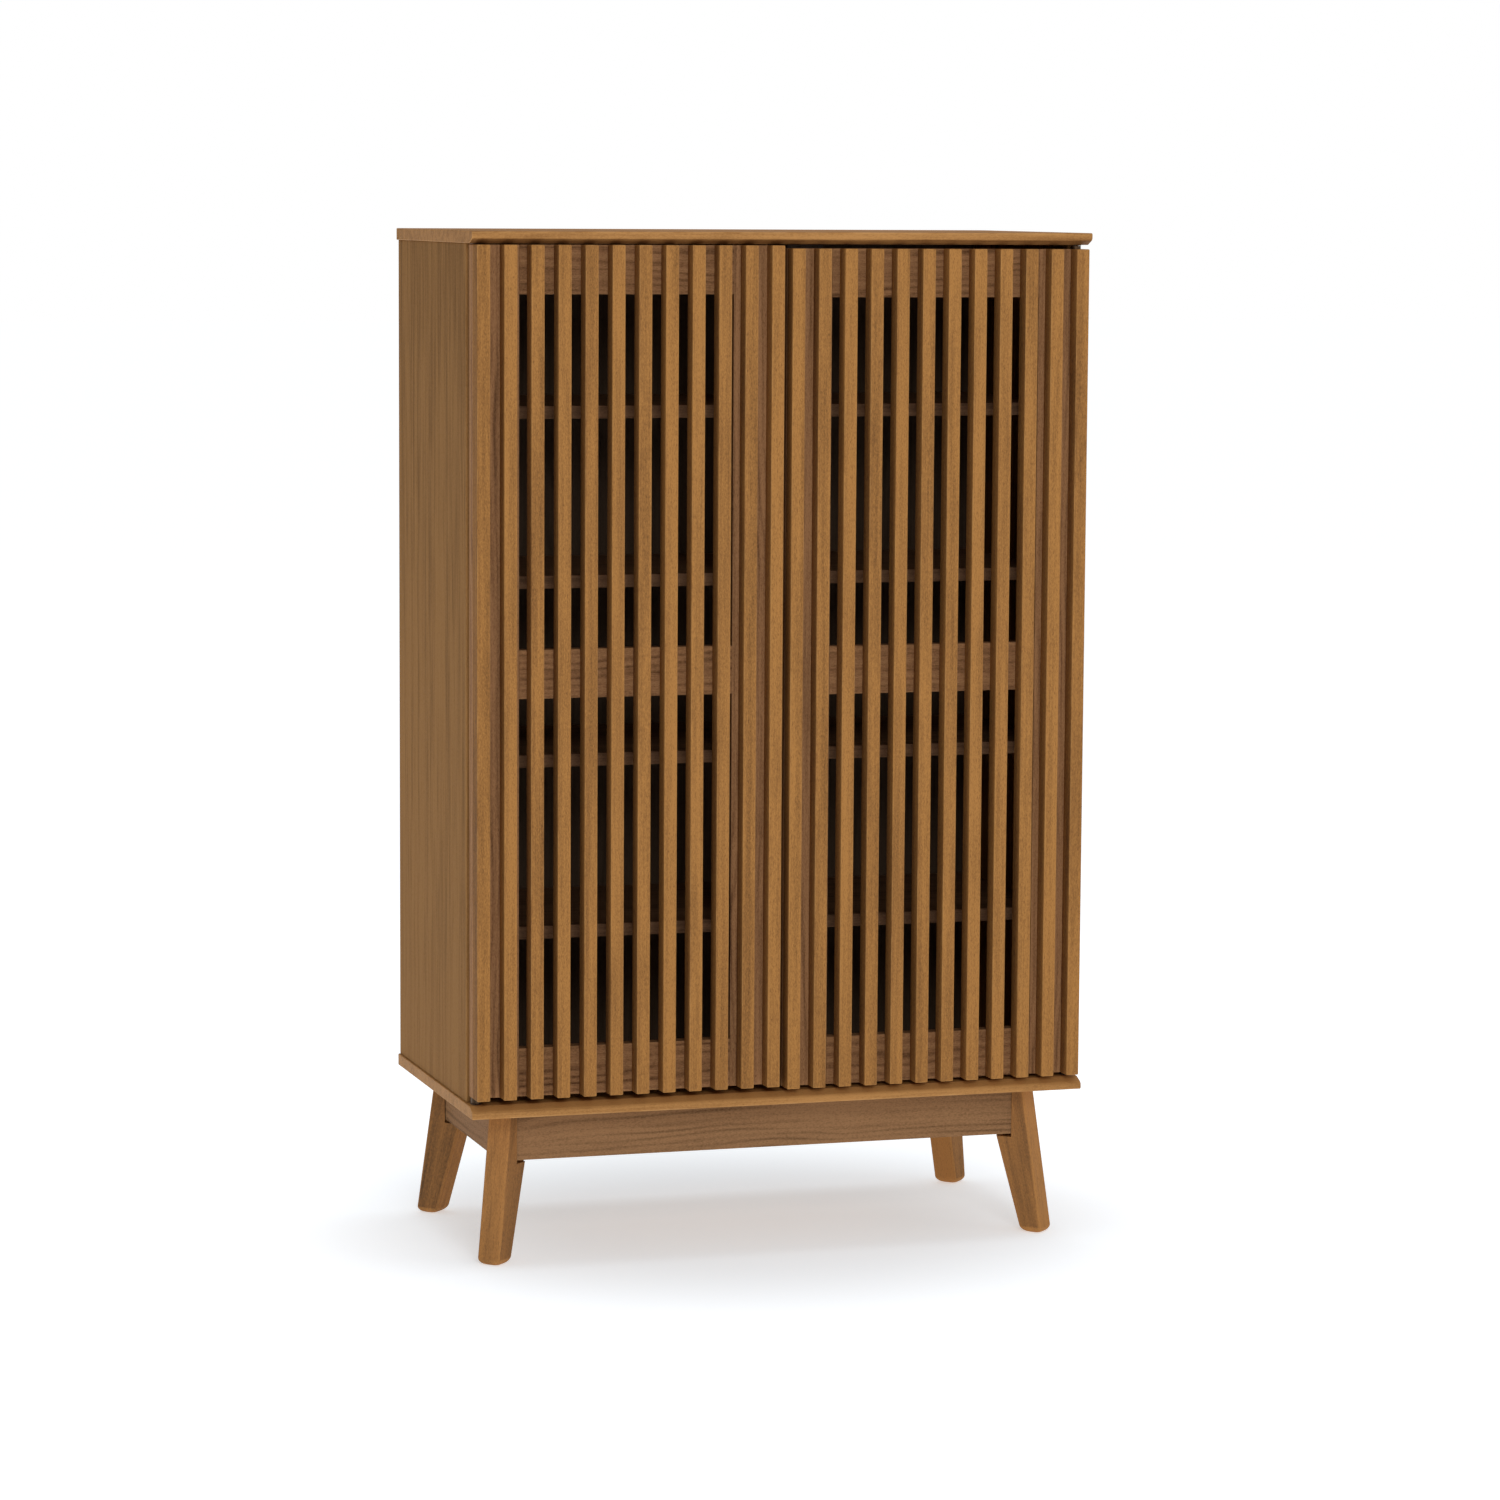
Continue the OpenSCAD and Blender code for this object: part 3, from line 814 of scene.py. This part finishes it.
def magnet_catches():
    """Brown catch cases, each with two steel pole strips that face the door."""
    lo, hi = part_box("magnet_catches")
    case_bm = bmesh.new()
    pole_bm = bmesh.new()
    for x in (lo.x, hi.x - CATCH_WIDTH):
        case_lo = (x, lo.y + POLE_THICKNESS / 2, lo.z)
        board_from_box(case_bm, case_lo, (x + CATCH_WIDTH, hi.y, hi.z), CATCH_ROUND)
        for z in (lo.z + POLE_FROM_EDGE, hi.z - POLE_FROM_EDGE - POLE_THICKNESS):
            pole_lo = (x + POLE_FROM_END, lo.y, z)
            pole_hi = (x + CATCH_WIDTH - POLE_FROM_END, lo.y + POLE_DEPTH, z + POLE_THICKNESS)
            board_from_box(pole_bm, pole_lo, pole_hi, POLE_ROUND)
    cases = mesh_of(case_bm, "catch_cases")
    poles = mesh_of(pole_bm, "catch_poles")
    make_object("catch_cases", cases, brown_nylon, "carcass", ["magnet_catches"])
    make_object("catch_poles", poles, bronzed_steel, "carcass", [])


magnet_catches()

carried_over = {
    "case_dowels": block_wood, "corner_blocks": block_wood, "base_fasteners": steel,
    "pivot_bushes": brown_nylon, "door_left_hardware": bronzed_steel, "door_right_hardware": bronzed_steel,
}
for node, material in carried_over.items():
    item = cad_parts[node]
    item.data.materials.clear()
    item.data.materials.append(material)


# ---- floor, light and camera ----

FLOOR_COLOUR = (0.77, 0.84, 0.91, 1)
FLOOR_SIZE = 80.0
# Glow strengths, painted light; the weaker glow near the cabinet makes a painted shadow round it
GLOW_NEAR = 0.40
GLOW_FAR = 0.72
GLOW_START = 0.2
GLOW_END = 0.75


def floor_material():
    """A pale matt floor with a faint glow of its own, painted light that grows away from the cabinet."""
    material = bpy.data.materials.new("studio_floor")
    material.use_nodes = True
    n = Nodes(material.node_tree)
    n.tree.nodes.clear()
    place = n.add("ShaderNodeTexCoord").outputs["Object"]
    distance = n.add("ShaderNodeVectorMath", {0: place}, operation="LENGTH").outputs["Value"]
    # Painted shadow: the glow is weaker near the cabinet
    away = n.ramp(distance, GLOW_START, GLOW_END)
    glow = n.math("ADD", n.math("MULTIPLY", away, GLOW_FAR - GLOW_NEAR), GLOW_NEAR)
    shader = n.add("ShaderNodeBsdfPrincipled", {
        "Base Color": FLOOR_COLOUR, "Roughness": 0.9, "Specular IOR Level": 0.0,
        "Emission Color": (1, 1, 1, 1), "Emission Strength": glow})
    n.add("ShaderNodeOutputMaterial", {"Surface": shader.outputs[0]})
    return material


def floor():
    """A flat floor, far wider than the view."""
    mesh = bpy.data.meshes.new("floor")
    half = FLOOR_SIZE / 2
    corners = [(-half, -half, 0), (half, -half, 0), (half, half, 0), (-half, half, 0)]
    mesh.from_pydata(corners, [], [(0, 1, 2, 3)])
    item = bpy.data.objects.new("floor", mesh)
    scene.collection.objects.link(item)
    mesh.materials.append(floor_material())


# Each light's place, width and power
LIGHTS = {
    "key": ((-0.6, -4.8, 2.4), 1.5, 56.0),
    "top": ((0.2, 0.2, 4.0), 2.6, 38.0),
    "fill": ((3.6, -2.6, 1.6), 2.4, 9.0),
}
AMBIENT = 0.36
CABINET_MIDDLE = Vector((0, 0, 0.6))


def area_light(name, place, size, power):
    """A round soft light aimed at the middle of the cabinet."""
    light = bpy.data.lights.new(name, "AREA")
    light.shape = "DISK"
    light.size = size
    light.energy = power
    item = bpy.data.objects.new(name, light)
    item.location = place
    item.rotation_mode = "QUATERNION"
    item.rotation_quaternion = (CABINET_MIDDLE - Vector(place)).to_track_quat("-Z", "Y")
    scene.collection.objects.link(item)


def studio():
    """A white surround, which lights more softly than it looks, and three soft lights."""
    world = bpy.data.worlds.new("studio")
    scene.world = world
    world.use_nodes = True
    n = Nodes(world.node_tree)
    n.tree.nodes.clear()
    seen = n.add("ShaderNodeLightPath").outputs["Is Camera Ray"]
    strength = n.math("ADD", n.math("MULTIPLY", seen, 1.0 - AMBIENT), AMBIENT)
    back = n.add("ShaderNodeBackground", {"Color": (1, 1, 1, 1), "Strength": strength})
    n.add("ShaderNodeOutputWorld", {"Surface": back.outputs[0]})
    for name, (place, size, power) in LIGHTS.items():
        area_light(name, place, size, power)


floor()
studio()

CAMERA_PLACE = (-1.7099, -5.5539, 1.2443)
CAMERA_LENS = 116.78
CAMERA_SENSOR = 36.0
CAMERA_TURN = 17.254
CAMERA_DOWN = 6.529
CAMERA_ROLL = 0.347

camera = bpy.data.cameras.new("camera")
camera.lens = CAMERA_LENS
camera.sensor_width = CAMERA_SENSOR
camera_object = bpy.data.objects.new("camera", camera)
turn = Matrix.Rotation(math.radians(-CAMERA_TURN), 4, "Z")
tilt = Matrix.Rotation(math.radians(90 - CAMERA_DOWN), 4, "X")
roll = Matrix.Rotation(math.radians(CAMERA_ROLL), 4, "Z")
camera_object.matrix_world = Matrix.Translation(CAMERA_PLACE) @ turn @ tilt @ roll
scene.collection.objects.link(camera_object)
scene.camera = camera_object
scene.view_settings.view_transform = "Standard"
